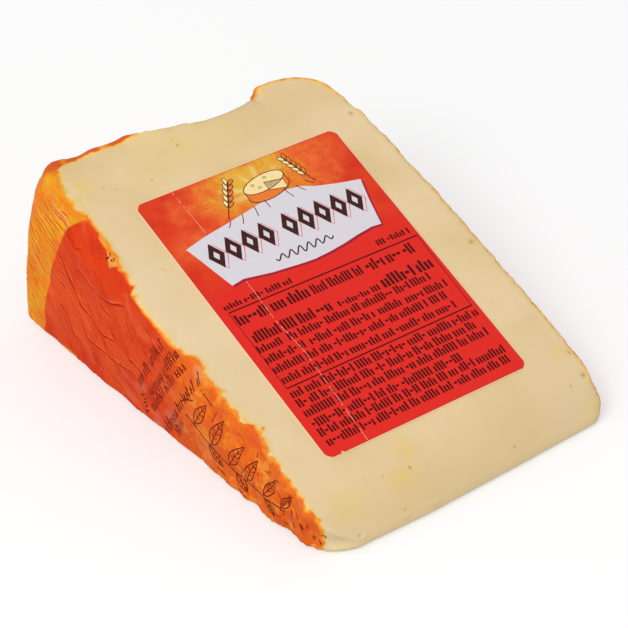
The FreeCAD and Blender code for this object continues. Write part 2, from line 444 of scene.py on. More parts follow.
# The blunt tip slants back toward the corner at +Y, and the base with it: (y, how far)
TIP_SLANT = [(-32, 0.1), (-10, 0.0), (10, 0.1), (17, 0.5), (22, 0.8), (28, 0.8), (31, 0.7)]
moved[:, 0] += read_off(TIP_SLANT, y) * (1 - ramp(x, TIP_SETBACK, TIP_SETBACK + 9))
moved[:, 1] -= 0.5 * beside * ramp(-x, -36, -25) * (1 - ramp(z, 0, 8))
moved[:, 2] = np.maximum(moved[:, 2], 0)
moved[:, 0] += wheel_axis
for vertex, place in zip(cheese.verts, moved):
    vertex.co = Vector(place) * MM


def inside(outline, across, down):
    """How far inside a convex outline, given clockwise on paper, places lie; below 0 is outside."""
    least = np.full(len(across), 1e3)
    for (a0, d0), (a1, d1) in zip(outline, outline[1:] + outline[:1]):
        length = math.hypot(a1 - a0, d1 - d0)
        least = np.minimum(least, ((a1 - a0) * (down - d0) - (d1 - d0) * (across - a0)) / length)
    return least


# Places that differ in colour: a gap in the red print, up against the cut edge
down_side = from_cut - depth
PRINT_GAP = [(80.6, -3.2), (88.2, -3.2), (87.8, -1.35), (83.8, 1.55), (80.9, -1.9)]
bare_print = ramp(inside(PRINT_GAP, along, down_side), -0.1, 0.2) * (y > 20)
# a loose flap of the rind, with a pinkish painted sheen on it
flap = ramp(-np.hypot((along - 57.8) / 1.8, (down_side - 0.6) / 1.5), -1.1, -0.7) * (y > 20)
# oily yellow stains: (reach, y, across, up), in mm
STAINS = [(24.0, 12.5, 4.5, 2.6), (28.5, 9.0, 3.0, 3.0), (20.5, -29.0, 2.0, 2.5), (31.0, -29.0, 2.0, 2.0)]
oily = ramp(-np.hypot(along - 100.5, (y - 29.5) * 0.9), -6.5, -1) * ramp(lumps(spot / 1.8, 75), -0.35, 0.45)
oily = np.maximum(oily, 0.5 * ramp(-np.hypot((along - 24.5) / 6, (y - 25) / 6), -1, 0))
oily = np.maximum(oily, 0.35 * ramp(-np.hypot(along - 100.3, y - 4.9), -2.6, 0))
oily = oily * (from_cut < 1.5)
for stain_reach, stain_y, across_it, up_it in STAINS:
    stain = ramp(-np.hypot((along - stain_reach) / up_it, (y - stain_y) / across_it), -1.2, -0.2)
    oily = np.maximum(oily, 0.8 * stain * ramp(lumps(spot / 1.1, 78), -0.1, 0.35) * (from_cut < 2.5))
    oily = np.maximum(oily, 0.3 * stain * (from_cut < 2.5))
# Painted shade: the paste is coloured darker toward the blunt tip, where the cut face rolls down
toward_tip = ramp(-along, -36, -14)
pale = np.maximum(ramp(y, 19, 26) * ramp(-along, -98, -92), ramp(-y, 12, 24) * ramp(-along, -42, -28))
yellower = ramp(along, 91, 98) * ramp(-np.abs(y - 4), -17, -9)
# Painted light: the low wall of the tip by the table is coloured paler, against the shade on it
foot_wall = ramp(-z, -3.8, -0.5) * ramp(-reach, -24, -20)
orange = ramp(-x, -66, -52)
sheen = ramp(lumps(spot / 3.5, 31), 0.05, 0.5) * ramp(-np.abs(x - 62), -16, -5) * ramp(-z, -13, -5)
sheen = sheen * (y > 0)
# Salmon painted highlight where the rind turns over the shoulder by the rim at +Y
shoulder = ramp(-from_rim - 0.8 * lumps(spot / 4, 76), -3.2, -0.8) * ramp(from_cut, 3, 12) * ramp(y, 24, 28)
# The rind along the top of the rim is dragged and darker
rim_top = ramp(-from_rim, -3.5, -1.5) * ramp(-from_cut, -2.0, -0.4) * ramp(lumps(spot / 3.0, 77), -0.45, 0.1)
rim_top = rim_top * (0.25 + 0.75 * ramp(y, -17, -15))

cheese_mesh = bpy.data.meshes.new("cheese")
for face in cheese.faces:
    face.smooth = True
cheese.to_mesh(cheese_mesh)
cheese.normal_update()
cheese_skin = BVHTree.FromBMesh(cheese)
cheese.free()


def carry(mesh, **looks):
    """Gives a mesh named values, one for each vertex, for its finish to read."""
    for name, values in looks.items():
        mesh.attributes.new(name, "FLOAT", "POINT").data.foreach_set("value", values.astype(np.float32))


carry(cheese_mesh, rind_edge=rind_edge, red_edge=red_edge, fold=fold, pit=pit, oily=oily, orange=orange,
      toward_tip=toward_tip, sheen=sheen, shoulder=shoulder, bare_print=bare_print, flap=flap,
      rim_top=rim_top, streak=streak, blotch=blotch, foot_wall=foot_wall, pale=pale, yellower=yellower)
cheese_piece = stood("cheese", cheese_mesh)


def colour(red, green, blue):
    """A colour given as it looks on a screen, 0 to 255, as the shader's linear values."""
    screen = [value / 255 for value in (red, green, blue)]
    linear = [v / 12.92 if v <= 0.04045 else ((v + 0.055) / 1.055) ** 2.4 for v in screen]
    return (*linear, 1)


class Finish:
    """A material and the nodes that colour it."""

    def __init__(self, name, roughness):
        self.material = bpy.data.materials.new(name)
        self.material.use_nodes = True
        self.tree = self.material.node_tree
        self.shader = self.tree.nodes["Principled BSDF"]
        self.shader.inputs["Roughness"].default_value = roughness
        self.place = self.node("ShaderNodeTexCoord").outputs["Object"]

    def node(self, kind, **settings):
        made = self.tree.nodes.new(kind)
        for name, value in settings.items():
            setattr(made, name, value)
        return made

    def fill(self, socket, value):
        """Links a socket, or sets a plain value. Three numbers are a colour, 0 to 255."""
        if isinstance(value, bpy.types.NodeSocket):
            self.tree.links.new(value, socket)
        else:
            socket.default_value = colour(*value) if isinstance(value, tuple) else value

    def attribute(self, name):
        return self.node("ShaderNodeAttribute", attribute_name=name).outputs["Fac"]

    def math(self, operation, first, second):
        made = self.node("ShaderNodeMath", operation=operation)
        self.fill(made.inputs[0], first)
        self.fill(made.inputs[1], second)
        return made.outputs[0]

    def ramp(self, value, start, end, low=0.0, high=1.0):
        made = self.node("ShaderNodeMapRange", interpolation_type="SMOOTHSTEP")
        for socket, number in zip(made.inputs, (value, start, end, low, high)):
            self.fill(socket, number)
        return made.outputs[0]

    def noise(self, size, detail=3.0, stretch=(1, 1, 1), turn=(0, 0, 0)):
        """Noise with lumps this many mm across."""
        mapping = self.node("ShaderNodeMapping")
        mapping.inputs["Scale"].default_value = [1 / (size * MM * s) for s in stretch]
        mapping.inputs["Rotation"].default_value = [math.radians(angle) for angle in turn]
        self.fill(mapping.inputs["Vector"], self.place)
        made = self.node("ShaderNodeTexNoise")
        made.inputs["Scale"].default_value = 1.0
        made.inputs["Detail"].default_value = detail
        self.fill(made.inputs["Vector"], mapping.outputs[0])
        return made.outputs["Fac"]

    def part(self, name, most):
        """A mesh's named values, with 1 brought down to this much."""
        return self.math("MULTIPLY", self.attribute(name), most)

    def mix(self, share, first, second):
        made = self.node("ShaderNodeMix", data_type="RGBA")
        self.fill(made.inputs["Factor"], share)
        self.fill(made.inputs[6], first)
        self.fill(made.inputs[7], second)
        return made.outputs[2]

    def layered(self, base, *layers):
        """A base colour with others laid over it in turn, each given as its share and itself."""
        for share, over in layers:
            base = self.mix(share, base, over)
        return base

    def cover(self, base, gloss):
        """Sets the colour of the surface, and how much it shines."""
        self.fill(self.shader.inputs["Base Color"], base)
        self.shader.inputs["Specular IOR Level"].default_value = gloss

    def bump(self, value, distance, strength):
        made = self.node("ShaderNodeBump")
        made.inputs["Strength"].default_value = strength
        made.inputs["Distance"].default_value = distance * MM
        self.fill(made.inputs["Height"], value)
        self.fill(self.shader.inputs["Normal"], made.outputs[0])

    def onto(self, piece):
        piece.data.materials.clear()
        piece.data.materials.append(self.material)


cheese_finish = Finish("paste_and_rind", 0.45)
f = cheese_finish
edge = f.attribute("rind_edge")
paste = f.layered(
    f.mix(f.ramp(f.noise(14, 2), 0.35, 0.65), (224, 196, 147), (232, 206, 162)),
    (f.ramp(f.noise(3.5, 4), 0.45, 0.75, 0, 0.35), (222, 192, 140)),
    # painted shade toward the tip
    (f.attribute("toward_tip"), (224, 195, 146)),
    (f.part("pale", 0.4), (232, 210, 172)),
    (f.part("yellower", 0.6), (226, 198, 138)),
    # painted light on the tip's low wall
    (f.attribute("foot_wall"), (255, 230, 176)),
    (f.part("oily", 0.8), (226, 198, 96)),
    (f.ramp(edge, -1.6, 0.1, 0, 0.6), (238, 200, 112)),
    (f.ramp(edge, -0.6, 0.1, 0, 0.9), (243, 176, 66)),
    # painted shade in the pits
    (f.part("pit", 0.8), (186, 152, 52)),
)
red = f.layered(
    f.mix(f.ramp(f.noise(9, 3), 0.35, 0.65), (223, 62, 18), (230, 80, 26)),
    (f.ramp(f.noise(2.2, 4), 0.5, 0.8, 0, 0.4), (202, 42, 8)),
    # painted shade and painted highlight in streaks along the wrinkles
    (f.ramp(f.attribute("streak"), 0.1, 0.7, 0, 0.6), (206, 46, 14)),
    (f.ramp(f.attribute("streak"), -0.1, -0.7, 0, 0.6), (240, 100, 48)),
    (f.ramp(f.noise(0.45, 2), 0.45, 0.7, 0, 0.3), (196, 48, 14)),
)
orange_paint = f.layered(
    f.mix(f.ramp(f.noise(6, 3), 0.35, 0.65), (227, 94, 20), (237, 118, 32)),
    (f.ramp(f.noise(0.5, 2), 0.45, 0.7, 0, 0.3), (208, 74, 14)),
    (f.ramp(f.attribute("blotch"), 0.15, 0.7, 0, 0.8), (240, 146, 50)),
    (f.ramp(f.attribute("blotch"), -0.15, -0.7, 0, 0.8), (218, 92, 54)),
)
# painted shade in the grooves of the folds and wrinkles
valley = f.ramp(f.attribute("fold"), -0.1, -0.8, 0, 0.9)
printed = f.layered(
    f.mix(f.attribute("orange"), red, orange_paint),
    (f.part("sheen", 0.55), (214, 124, 100)),
    (f.part("bare_print", 0.9), f.mix(f.ramp(f.noise(0.9, 3), 0.4, 0.6), (240, 166, 66), (234, 152, 98))),
    (valley, (168, 24, 4)),
)
amber = f.layered(
    f.mix(f.ramp(f.noise(7, 3), 0.35, 0.65), (242, 124, 26), (243, 162, 32)),
    (f.part("oily", 0.7), (232, 176, 34)),
    (f.ramp(f.noise(3, 3), 0.55, 0.8, 0, 0.4), (228, 104, 34)),
    # salmon painted highlight on the shoulder
    (f.part("shoulder", 0.75), (238, 142, 98)),
    (f.ramp(f.attribute("blotch"), 0.1, 0.6, 0, 0.5), (230, 170, 32)),
    (f.ramp(f.attribute("blotch"), -0.1, -0.6, 0, 0.4), (232, 116, 40)),
    # painted highlight and painted shade in streaks along the wrinkles
    (f.ramp(f.attribute("streak"), 0.2, 0.9, 0, 0.5), (243, 164, 108)),
    (f.ramp(f.attribute("streak"), -0.2, -0.9, 0, 0.5), (226, 112, 22)),
    (valley, (204, 92, 10)),
)
fringe = f.mix(f.ramp(f.attribute("red_edge"), -2.0, 0.2), (244, 180, 52), (241, 148, 56))
rind = f.layered(
    f.mix(f.ramp(f.attribute("red_edge"), -0.22, 0.22), amber, printed),
    # painted highlight on the lips of the folds and wrinkles
    (f.ramp(f.attribute("fold"), 0.12, 1.0, 0, 0.55), (250, 146, 90)),
    (f.ramp(edge, 0.7, 0.0, 0, 0.75), fringe),
    (f.part("rim_top", 0.8), (208, 70, 30)),
    # pinkish painted sheen on the loose flap
    (f.part("flap", 0.4), (226, 150, 106)),
)
f.cover(f.mix(f.ramp(edge, -0.08, 0.08), paste, rind), 0.07)
f.shader.inputs["Subsurface Weight"].default_value = 0.08
f.shader.inputs["Subsurface Radius"].default_value = (1.0, 0.6, 0.3)
f.shader.inputs["Subsurface Scale"].default_value = 1.0 * MM
f.bump(f.noise(0.6, 3), 0.03, 0.5)
cheese_finish.onto(cheese_piece)
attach(cheese_piece, "root")
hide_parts("cheese_wedge")


# ---------------------------------------------------------------- The label
# A sheet of coated paper, stuck flat on the upper cut face a little askew. It is
# printed red, with a warm glow at its rim end, and a long crease runs down it.

LABEL_WIDTH = 44.2
LABEL_LENGTH = 59.33
LABEL_ROUND = 2.1
LABEL_THICKNESS = 0.2
LABEL_REACH = 61.73             # its middle, from the axis of the wheel
LABEL_MIDDLE_Y = -0.5
LABEL_TURN = math.radians(-1.9)
OFF_CUT = Vector((-math.sin(CUT_ANGLE), 0, math.cos(CUT_ANGLE)))


def on_cut(reach, across):
    """A place on the upper cut face, in mm, at this reach and y."""
    return Vector((wheel_axis + reach * math.cos(CUT_ANGLE), across, reach * math.sin(CUT_ANGLE)))


def on_label(across, down, lift=0.0):
    """A place on the label's face, in mm from its corner at +Y by the rim."""
    forward = LABEL_LENGTH / 2 - down
    left = LABEL_WIDTH / 2 - across
    reach = LABEL_REACH + forward * math.cos(LABEL_TURN) - left * math.sin(LABEL_TURN)
    side = LABEL_MIDDLE_Y + forward * math.sin(LABEL_TURN) + left * math.cos(LABEL_TURN)
    return (on_cut(reach, side) + OFF_CUT * (LABEL_THICKNESS + lift)) * MM


def raise_flat(flat, thickness):
    """Gives flat shapes on the cut face a body, upwards from where they lie."""
    made = bmesh.ops.extrude_face_region(flat, geom=flat.faces[:])
    upper = [part for part in made["geom"] if isinstance(part, bmesh.types.BMVert)]
    bmesh.ops.translate(flat, verts=upper, vec=OFF_CUT * thickness * MM)
    bmesh.ops.recalc_face_normals(flat, faces=flat.faces)


def finished_piece(name, shape, finish):
    """Puts a shape in the scene as a piece of the product."""
    mesh = bpy.data.meshes.new(name)
    shape.to_mesh(mesh)
    shape.free()
    piece = stood(name, mesh)
    finish.onto(piece)
    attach(piece, "root")
    return piece


sheet = bmesh.new()
bmesh.ops.create_grid(sheet, x_segments=96, y_segments=128, size=1.0)
for vertex in sheet.verts:
    across = vertex.co.x * LABEL_WIDTH / 2
    down = vertex.co.y * LABEL_LENGTH / 2
    past_across = abs(across) - (LABEL_WIDTH / 2 - LABEL_ROUND)
    past_down = abs(down) - (LABEL_LENGTH / 2 - LABEL_ROUND)
    if past_across > 0 and past_down > 0:
        pull = max(past_across, past_down) / math.hypot(past_across, past_down)
        across = math.copysign(LABEL_WIDTH / 2 - LABEL_ROUND + past_across * pull, across)
        down = math.copysign(LABEL_LENGTH / 2 - LABEL_ROUND + past_down * pull, down)
    across += LABEL_WIDTH / 2
    down += LABEL_LENGTH / 2
    # a nick in the edge at the tip end
    at_end = max(0, down - LABEL_LENGTH + 1.2) / 1.2
    down -= 0.6 * at_end * math.exp(-((across - 3.2) / 0.35) ** 2)
    vertex.co = on_label(across, down, -LABEL_THICKNESS)
raise_flat(sheet, LABEL_THICKNESS)

label_places = []
for vertex in sheet.verts:
    place = vertex.co / MM
    reach = along_cut(place.x - wheel_axis, place.z) - LABEL_REACH
    side = place.y - LABEL_MIDDLE_Y
    forward = reach * math.cos(LABEL_TURN) + side * math.sin(LABEL_TURN)
    left = side * math.cos(LABEL_TURN) - reach * math.sin(LABEL_TURN)
    label_places.append((LABEL_WIDTH / 2 - left, LABEL_LENGTH / 2 - forward, vertex.normal.dot(OFF_CUT)))
across, down, facing = np.array(label_places).T
grain_places = np.column_stack((across, down, 0 * across))

# How near each place is to the glow's middle, with soft beams out of it
glow = 1 - np.hypot((across - 23.0) / 15.0, (down - 4.0) / 8.5)
glow += 0.25 * lumps(grain_places / 4.0, 41) + 0.16 * lumps(grain_places / 1.3, 42)
beams = np.zeros(len(across))
for degrees, length in ((-160, 9), (-118, 6), (-78, 7), (-35, 8), (178, 8)):
    turn = math.radians(degrees)
    forward = (across - 23.5) * math.cos(turn) + (down - 6.5) * math.sin(turn)
    sideways = (down - 6.5) * math.cos(turn) - (across - 23.5) * math.sin(turn)
    width = 0.25 + 0.05 * np.clip(forward, 0, length)
    beams += np.exp(-(sideways / width) ** 2) * ramp(forward, 1, 3) * ramp(-forward, -length, -length / 2)
warm = np.maximum(ramp(-np.hypot((across - 6) / 7, (down - 12.5) / 5), -1.1, -0.2),
                  ramp(-np.hypot((across - 36) / 10, (down - 3) / 7), -1.1, -0.2))
warm = np.maximum(warm, ramp(glow, -0.35, 0.25))
crimson = ramp(down, 16, 26)
rim_line = np.minimum(np.minimum(across, LABEL_WIDTH - across), np.minimum(down, LABEL_LENGTH - down))

label_finish = Finish("red_label", 0.45)
f = label_finish
crackle = f.noise(1.1, 5, (1, 1.6, 1), (0, 0, 24))
spray = f.math("ADD", f.attribute("glow"), f.ramp(f.noise(0.35, 2), 0.3, 0.7, -0.14, 0.14))
red = f.layered(
    f.mix(f.ramp(f.noise(5, 3), 0.35, 0.65), (214, 48, 20), (224, 62, 26)),
    (f.attribute("crimson"), (226, 40, 30)),
    (f.math("MULTIPLY", f.attribute("warm"), f.ramp(crackle, 0.3, 0.7, 0.45, 1.0)), (236, 106, 46)),
    (f.ramp(spray, 0.10, 0.42), (231, 130, 36)),
    (f.ramp(spray, 0.36, 0.72), (230, 176, 58)),
    (f.part("beams", 0.7), (244, 216, 140)),
    (f.ramp(f.attribute("rim_line"), 0.4, 0.2, 0, 0.5), (150, 24, 16)),
    (f.ramp(f.attribute("rim_line"), 0.2, 0.1), (248, 200, 160)),
)
f.cover(red, 0.15)
f.bump(f.noise(0.4, 2), 0.006, 0.4)
paper_edge = Finish("paper_edge", 0.7)
paper_edge.cover(paper_edge.mix(paper_edge.noise(0.8, 2), (246, 222, 196), (236, 206, 176)), 0.1)

label_piece = finished_piece("label_sheet", sheet, label_finish)
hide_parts("label")
label_piece.data.materials.append(paper_edge.material)
for polygon in label_piece.data.polygons:
    polygon.material_index = 0 if Vector(polygon.normal).dot(OFF_CUT) > 0.9 else 1
carry(label_piece.data, glow=glow, beams=beams, warm=warm, crimson=crimson, rim_line=rim_line)


# ---------------------------------------------------------------- The label's print
# Thin layers of ink over the red: a pale wavy banner with a row of lozenges, a
# cut cheese between two ears of corn on top of it, and rows of small marks.


def patch(flat, outline):
    """A filled shape on the label, from places across and down it."""
    flat.faces.new([flat.verts.new(on_label(*place)) for place in outline])


def stroke(flat, places, width, closed=False):
    """A line of ink of this width on the label."""
    count = len(places)
    pairs = []
    for number, (across, down) in enumerate(places):
        before = places[number - 1] if closed or number > 0 else places[0]
        after = places[(number + 1) % count] if closed or number < count - 1 else places[-1]
        along_it = Vector((after[0] - before[0], after[1] - before[1])).normalized() * width / 2
        pairs.append((flat.verts.new(on_label(across - along_it.y, down + along_it.x)),
                      flat.verts.new(on_label(across + along_it.y, down - along_it.x))))
    ends = zip(pairs, pairs[1:] + pairs[:1]) if closed else zip(pairs, pairs[1:])
    for (left0, right0), (left1, right1) in ends:
        flat.faces.new((left0, right0, right1, left1))


def oval(across, down, half_across, half_down, tilt=0.0, steps=20, start=0.0, end=360.0):
    """Places round an oval, or part of it."""
    turn = math.radians(tilt)
    places = []
    count = steps if end - start == 360 else steps + 1
    for number in range(count):
        angle = math.radians(start + (end - start) * number / steps)
        along_it = half_across * math.cos(angle)
        beside_it = half_down * math.sin(angle)
        places.append((across + along_it * math.cos(turn) - beside_it * math.sin(turn),
                       down + along_it * math.sin(turn) + beside_it * math.cos(turn)))
    return places


def ink(name, first, second):
    """A printing ink, a little uneven."""
    made = Finish(name, 0.5)
    made.cover(made.mix(made.noise(0.9, 3), first, second), 0.15)
    return made


def print_label(name, flat, thickness, *ink_look):
    """Gives flat shapes on the label the body of a layer of ink, as a piece of their own."""
    raise_flat(flat, thickness)
    finished_piece(name, flat, ink(*ink_look))


# The banner, and its shadow
banner_top = [
    (3.1, 12.1), (7.6, 11.1), (12.3, 10.4), (16.7, 9.7), (20.6, 9.0), (24.2, 8.5), (27.8, 8.3), (30.7, 8.8),
    (32.8, 9.8), (37.1, 11.0), (41.7, 12.0),
]
banner_bottom = [
    (40.3, 16.7), (39.0, 22.1), (36.9, 21.9), (33.5, 22.3), (30.0, 22.9), (26.4, 23.3), (23.1, 23.5),
    (20.1, 23.3), (17.2, 23.0), (14.2, 22.7), (11.5, 22.2), (8.8, 21.7), (6.1, 22.1), (5.0, 18.4),
    (4.1, 15.2),
]
banner_outline = banner_top + banner_bottom

shadow = bmesh.new()
patch(shadow, [(across + 0.25, down + 0.5) for across, down in banner_outline])
print_label("banner_shadow", shadow, 0.01, "shadow_ink", (158, 22, 62), (176, 26, 52))

banner = bmesh.new()
patch(banner, banner_outline)
print_label("banner", banner, 0.02, "banner_ink", (216, 210, 216), (223, 218, 223))

# The row of lozenges stands where a name would be
lozenge_places = [7.3 + 3.65 * number for number in range(4)] + [23.4 + 3.6 * number for number in range(5)]
pink = bmesh.new()
dark = bmesh.new()
holes = bmesh.new()
HALF_WIDE = 1.65
HALF_TALL = 2.85
HOLE = 0.36                     # of the lozenge's own size
for middle in lozenge_places:
    low = 15.45 - 0.25 * math.cos((middle - 22.5) / 9)
    diamond = oval(middle, low, HALF_WIDE, HALF_TALL, steps=4)
    stroke(pink, [(across + 0.5, down + 0.35) for across, down in diamond], 0.2, closed=True)
    patch(dark, diamond)
    patch(holes, [(middle + (across - middle) * HOLE, low + (down - low) * HOLE) for across, down in diamond])

# A flourish under the lozenges, of six and a half waves
wave = []
for share in np.linspace(0, 1, 90):
    swing = 0.75 * math.sin(share * 2 * math.pi * 6.5) * (0.6 + 0.4 * math.sin(share * math.pi))
    wave.append((16.6 + 12.6 * share - 0.35 * swing, 20.6 + swing))
stroke(dark, wave, 0.26)

# The cut cheese, and the ears of corn beside it
PEN = 0.16                      # width of a drawn line
lines = bmesh.new()
cream = bmesh.new()
orange_ink = bmesh.new()
wheel_top = oval(24.6, 5.2, 4.7, 1.7, -8)
wheel_foot = oval(24.6, 7.1, 4.7, 1.7, -8, 20, 0, 180)
wheel_side = oval(24.6, 5.2, 4.7, 1.7, -8, 20, 0, 180) + wheel_foot[::-1]
patch(orange_ink, wheel_side)
patch(cream, wheel_top)
notch = [(24.6, 5.2), (28.4, 5.9), (28.2, 7.9), (24.6, 7.1)]
patch(cream, notch)
stroke(lines, wheel_top, PEN, closed=True)
stroke(lines, wheel_foot, PEN)
stroke(lines, notch, PEN, closed=True)
stroke(lines, [(20.0, 6.0), (20.0, 7.9)], PEN)
stroke(lines, [(29.2, 4.6), (29.2, 6.4)], PEN)
for across, down in ((22.3, 5.0), (25.4, 4.3), (23.3, 5.9)):
    stroke(lines, oval(across, down, 0.35, 0.2, 0, 8), 0.1, closed=True)
for foot, head in (((14.0, 9.6), (18.6, 2.4)), ((33.8, 8.9), (31.2, 2.0))):
    lean = math.degrees(math.atan2(head[1] - foot[1], head[0] - foot[0]))
    stroke(lines, [foot, ((foot[0] + head[0]) / 2, (foot[1] + head[1]) / 2), head], PEN)
    for number in range(5):
        share = 0.32 + 0.15 * number
        across = foot[0] + (head[0] - foot[0]) * share
        down = foot[1] + (head[1] - foot[1]) * share
        for side in (-32, 32):
            turn = math.radians(lean + side)
            seed_across = across + 0.8 * math.cos(turn)
            seed_down = down + 0.8 * math.sin(turn)
            seed = oval(seed_across, seed_down, 0.85, 0.38, lean + side, 12)
            patch(cream if side < 0 else orange_ink, seed)
            stroke(lines, seed, 0.13, closed=True)
# short strokes under the cheese: (across, lean, length)
FURROWS = [
    (14.0, -1.1, 1.3), (16.8, -1.0, 2.0), (19.8, -0.5, 2.2), (22.4, 0.1, 1.8), (29.8, 1.0, 1.6),
    (27.2, 0.7, 2.3), (32.0, 1.3, 1.2),
]
for foot_across, lean, length in FURROWS:
    start = 9.9 - 0.16 * (foot_across - 14) + (0.9 if foot_across > 29 else 0.1)
    stroke(lines, [(foot_across, start), (foot_across + lean * 0.35, start + length / 2),
                   (foot_across + lean, start + length)], 0.15)

print_label("lozenge_outlines", pink, 0.03, "pink_ink", (222, 92, 108), (228, 108, 122))
print_label("lozenges", dark, 0.04, "brown_ink", (58, 24, 22), (70, 30, 26))
print_label("lozenge_holes", holes, 0.05, "pale_ink", (216, 210, 216), (223, 218, 223))
print_label("orange_fills", orange_ink, 0.03, "orange_ink", (232, 116, 42), (240, 132, 54))
print_label("cream_fills", cream, 0.035, "cream_ink", (246, 218, 150), (250, 228, 170))
print_label("drawing_lines", lines, 0.045, "line_ink", (78, 34, 14), (94, 44, 20))

# Rows of small marks, the size of the small print: (from, to, foot, height, weight) in mm
MARK_ROWS = [
    (1.9, 16.5, 26.1, 1.15, 0.8), (35.5, 43.2, 26.0, 1.2, 0.8),
    (2.4, 17.7, 29.9, 2.3, 1.7), (18.4, 29.7, 29.9, 2.0, 0.9), (30.4, 41.6, 30.0, 2.3, 1.6),
    (2.9, 20.3, 34.1, 2.2, 1.6), (21.0, 30.2, 34.1, 1.2, 0.7), (30.9, 42.2, 34.2, 2.4, 1.9),
    (2.2, 8.0, 36.2, 1.5, 1.5), (8.6, 35.3, 36.2, 1.62, 0.9), (35.8, 40.0, 36.2, 1.66, 1.6),
    (2.1, 11.0, 38.6, 1.62, 0.9), (11.6, 16.2, 38.6, 1.66, 1.6), (16.8, 26.0, 38.6, 1.62, 0.9),
    (26.6, 32.0, 38.6, 1.66, 1.6), (32.6, 42.0, 38.7, 1.62, 0.9),
    (2.2, 36.0, 40.9, 1.62, 0.9), (36.6, 41.0, 40.9, 1.66, 1.6),
    (2.3, 40.9, 43.3, 1.62, 0.9),
    (2.0, 43.2, 46.4, 1.72, 1.1), (1.9, 41.0, 48.5, 1.72, 1.1), (1.8, 42.6, 50.6, 1.72, 1.1),
    (1.8, 34.2, 53.0, 1.72, 1.1), (1.8, 42.6, 55.0, 1.72, 1.1), (1.9, 42.4, 57.1, 1.72, 1.1),
]
marks = bmesh.new()
chance = random.Random(12)
for start, end, foot, tall, weight in MARK_ROWS:
    thick = max(0.39, 0.19 * weight * math.sqrt(tall))
    gap = max(0.26, 0.6 * thick)
    place = start
    word = 0
    while place < end:
        if word == 0:
            word = chance.choice((3, 4, 5, 6, 8, 10))
        kind = chance.choice(("tall", "tall", "tall", "tall", "short", "short", "short", "dash"))
        head = foot - tall * (0.72 if kind == "short" else 1.0)
        if place + thick < end and kind != "dash":
            patch(marks, [(place, foot), (place, head), (place + thick, head), (place + thick, foot)])
        if place + 2 * thick < end and kind == "dash":
            high = foot - 0.6 * tall
            low = foot - 0.35 * tall
            far = place + 1.5 * thick
            patch(marks, [(place, low), (place, high), (far, high), (far, low)])
            place += 0.5 * thick
        place += thick + gap
        word -= 1
        if word == 0:
            place += 1.6 * gap
stroke(marks, [(2.1, 26.75), (43.5, 27.05), (43.0, 44.1), (2.1, 44.25)], 0.28, closed=True)
print_label("small_marks", marks, 0.02, "maroon_ink", (74, 0, 2), (88, 2, 4))

# The long crease shows as a broken pale line, where the ink has cracked off
crack = bmesh.new()
CREASE_DOWN = [
    (8.0, 0.3), (8.2, 5.0), (8.4, 10.6), None, (8.9, 22.4), (8.8, 27.0), (8.7, 31.7), (9.1, 35.0),
    (9.5, 38.2), (9.3, 44.0), (8.9, 52.0), (8.6, 59.0),
]
chance = random.Random(5)
for start, end in zip(CREASE_DOWN, CREASE_DOWN[1:]):
    if start and end:
        steps = int((end[1] - start[1]) / 0.6)
        for number in range(steps):
            if chance.random() < 0.8:
                share0 = number / steps
                share1 = (number + chance.uniform(0.7, 1.0)) / steps
                places = [Vector(start).lerp(Vector(end), share) for share in (share0, share1)]
                stroke(crack, places, chance.uniform(0.06, 0.13))
print_label("crease", crack, 0.03, "bare_paper", (244, 150, 120), (250, 176, 150))


# ---------------------------------------------------------------- The rind's print
# Dark ink stamped on the rind of the visible face: slanting rows of small marks,
# and below them a leafy sprig. It lies on the rind and follows its folds.


def on_rind_face(forward, up):
    """The rind's surface at this x and z, in mm, and the way that it faces."""
    start = Vector((wheel_axis + forward, HALF_HEIGHT + 10, up)) * MM
    return cheese_skin.ray_cast(start, Vector((0, -1, 0)))[:2]


def on_rind_lap(reach, across):
    """The rind's surface where it laps over the cut face, at this reach and y."""
    start = (on_cut(reach, across) + OFF_CUT * 10) * MM
    return cheese_skin.ray_cast(start, -OFF_CUT)[:2]


rind_marks = bmesh.new()


def rind_stroke(places, width, on_rind=on_rind_face):
    """A line of ink of this width on the rind, fine enough to follow it."""
    fine = []
    for (x0, z0), (x1, z1) in zip(places, places[1:]):
        steps = max(1, int(math.hypot(x1 - x0, z1 - z0) / 0.35))
        fine += [(x0 + (x1 - x0) * step / steps, z0 + (z1 - z0) * step / steps) for step in range(steps)]
    fine.append(places[-1])
    pairs = []
    for number, (forward, up) in enumerate(fine):
        before = fine[max(number - 1, 0)]
        after = fine[min(number + 1, len(fine) - 1)]
        way = Vector((after[0] - before[0], after[1] - before[1])).normalized() * width / 2
        left = on_rind(forward - way.y, up + way.x)
        right = on_rind(forward + way.y, up - way.x)
        if left[0] is None or right[0] is None:
            continue
        pairs.append([rind_marks.verts.new(place + facing * 0.03 * MM) for place, facing in (left, right)])
    for (left0, right0), (left1, right1) in zip(pairs, pairs[1:]):
        rind_marks.faces.new((left0, left1, right1, right0))


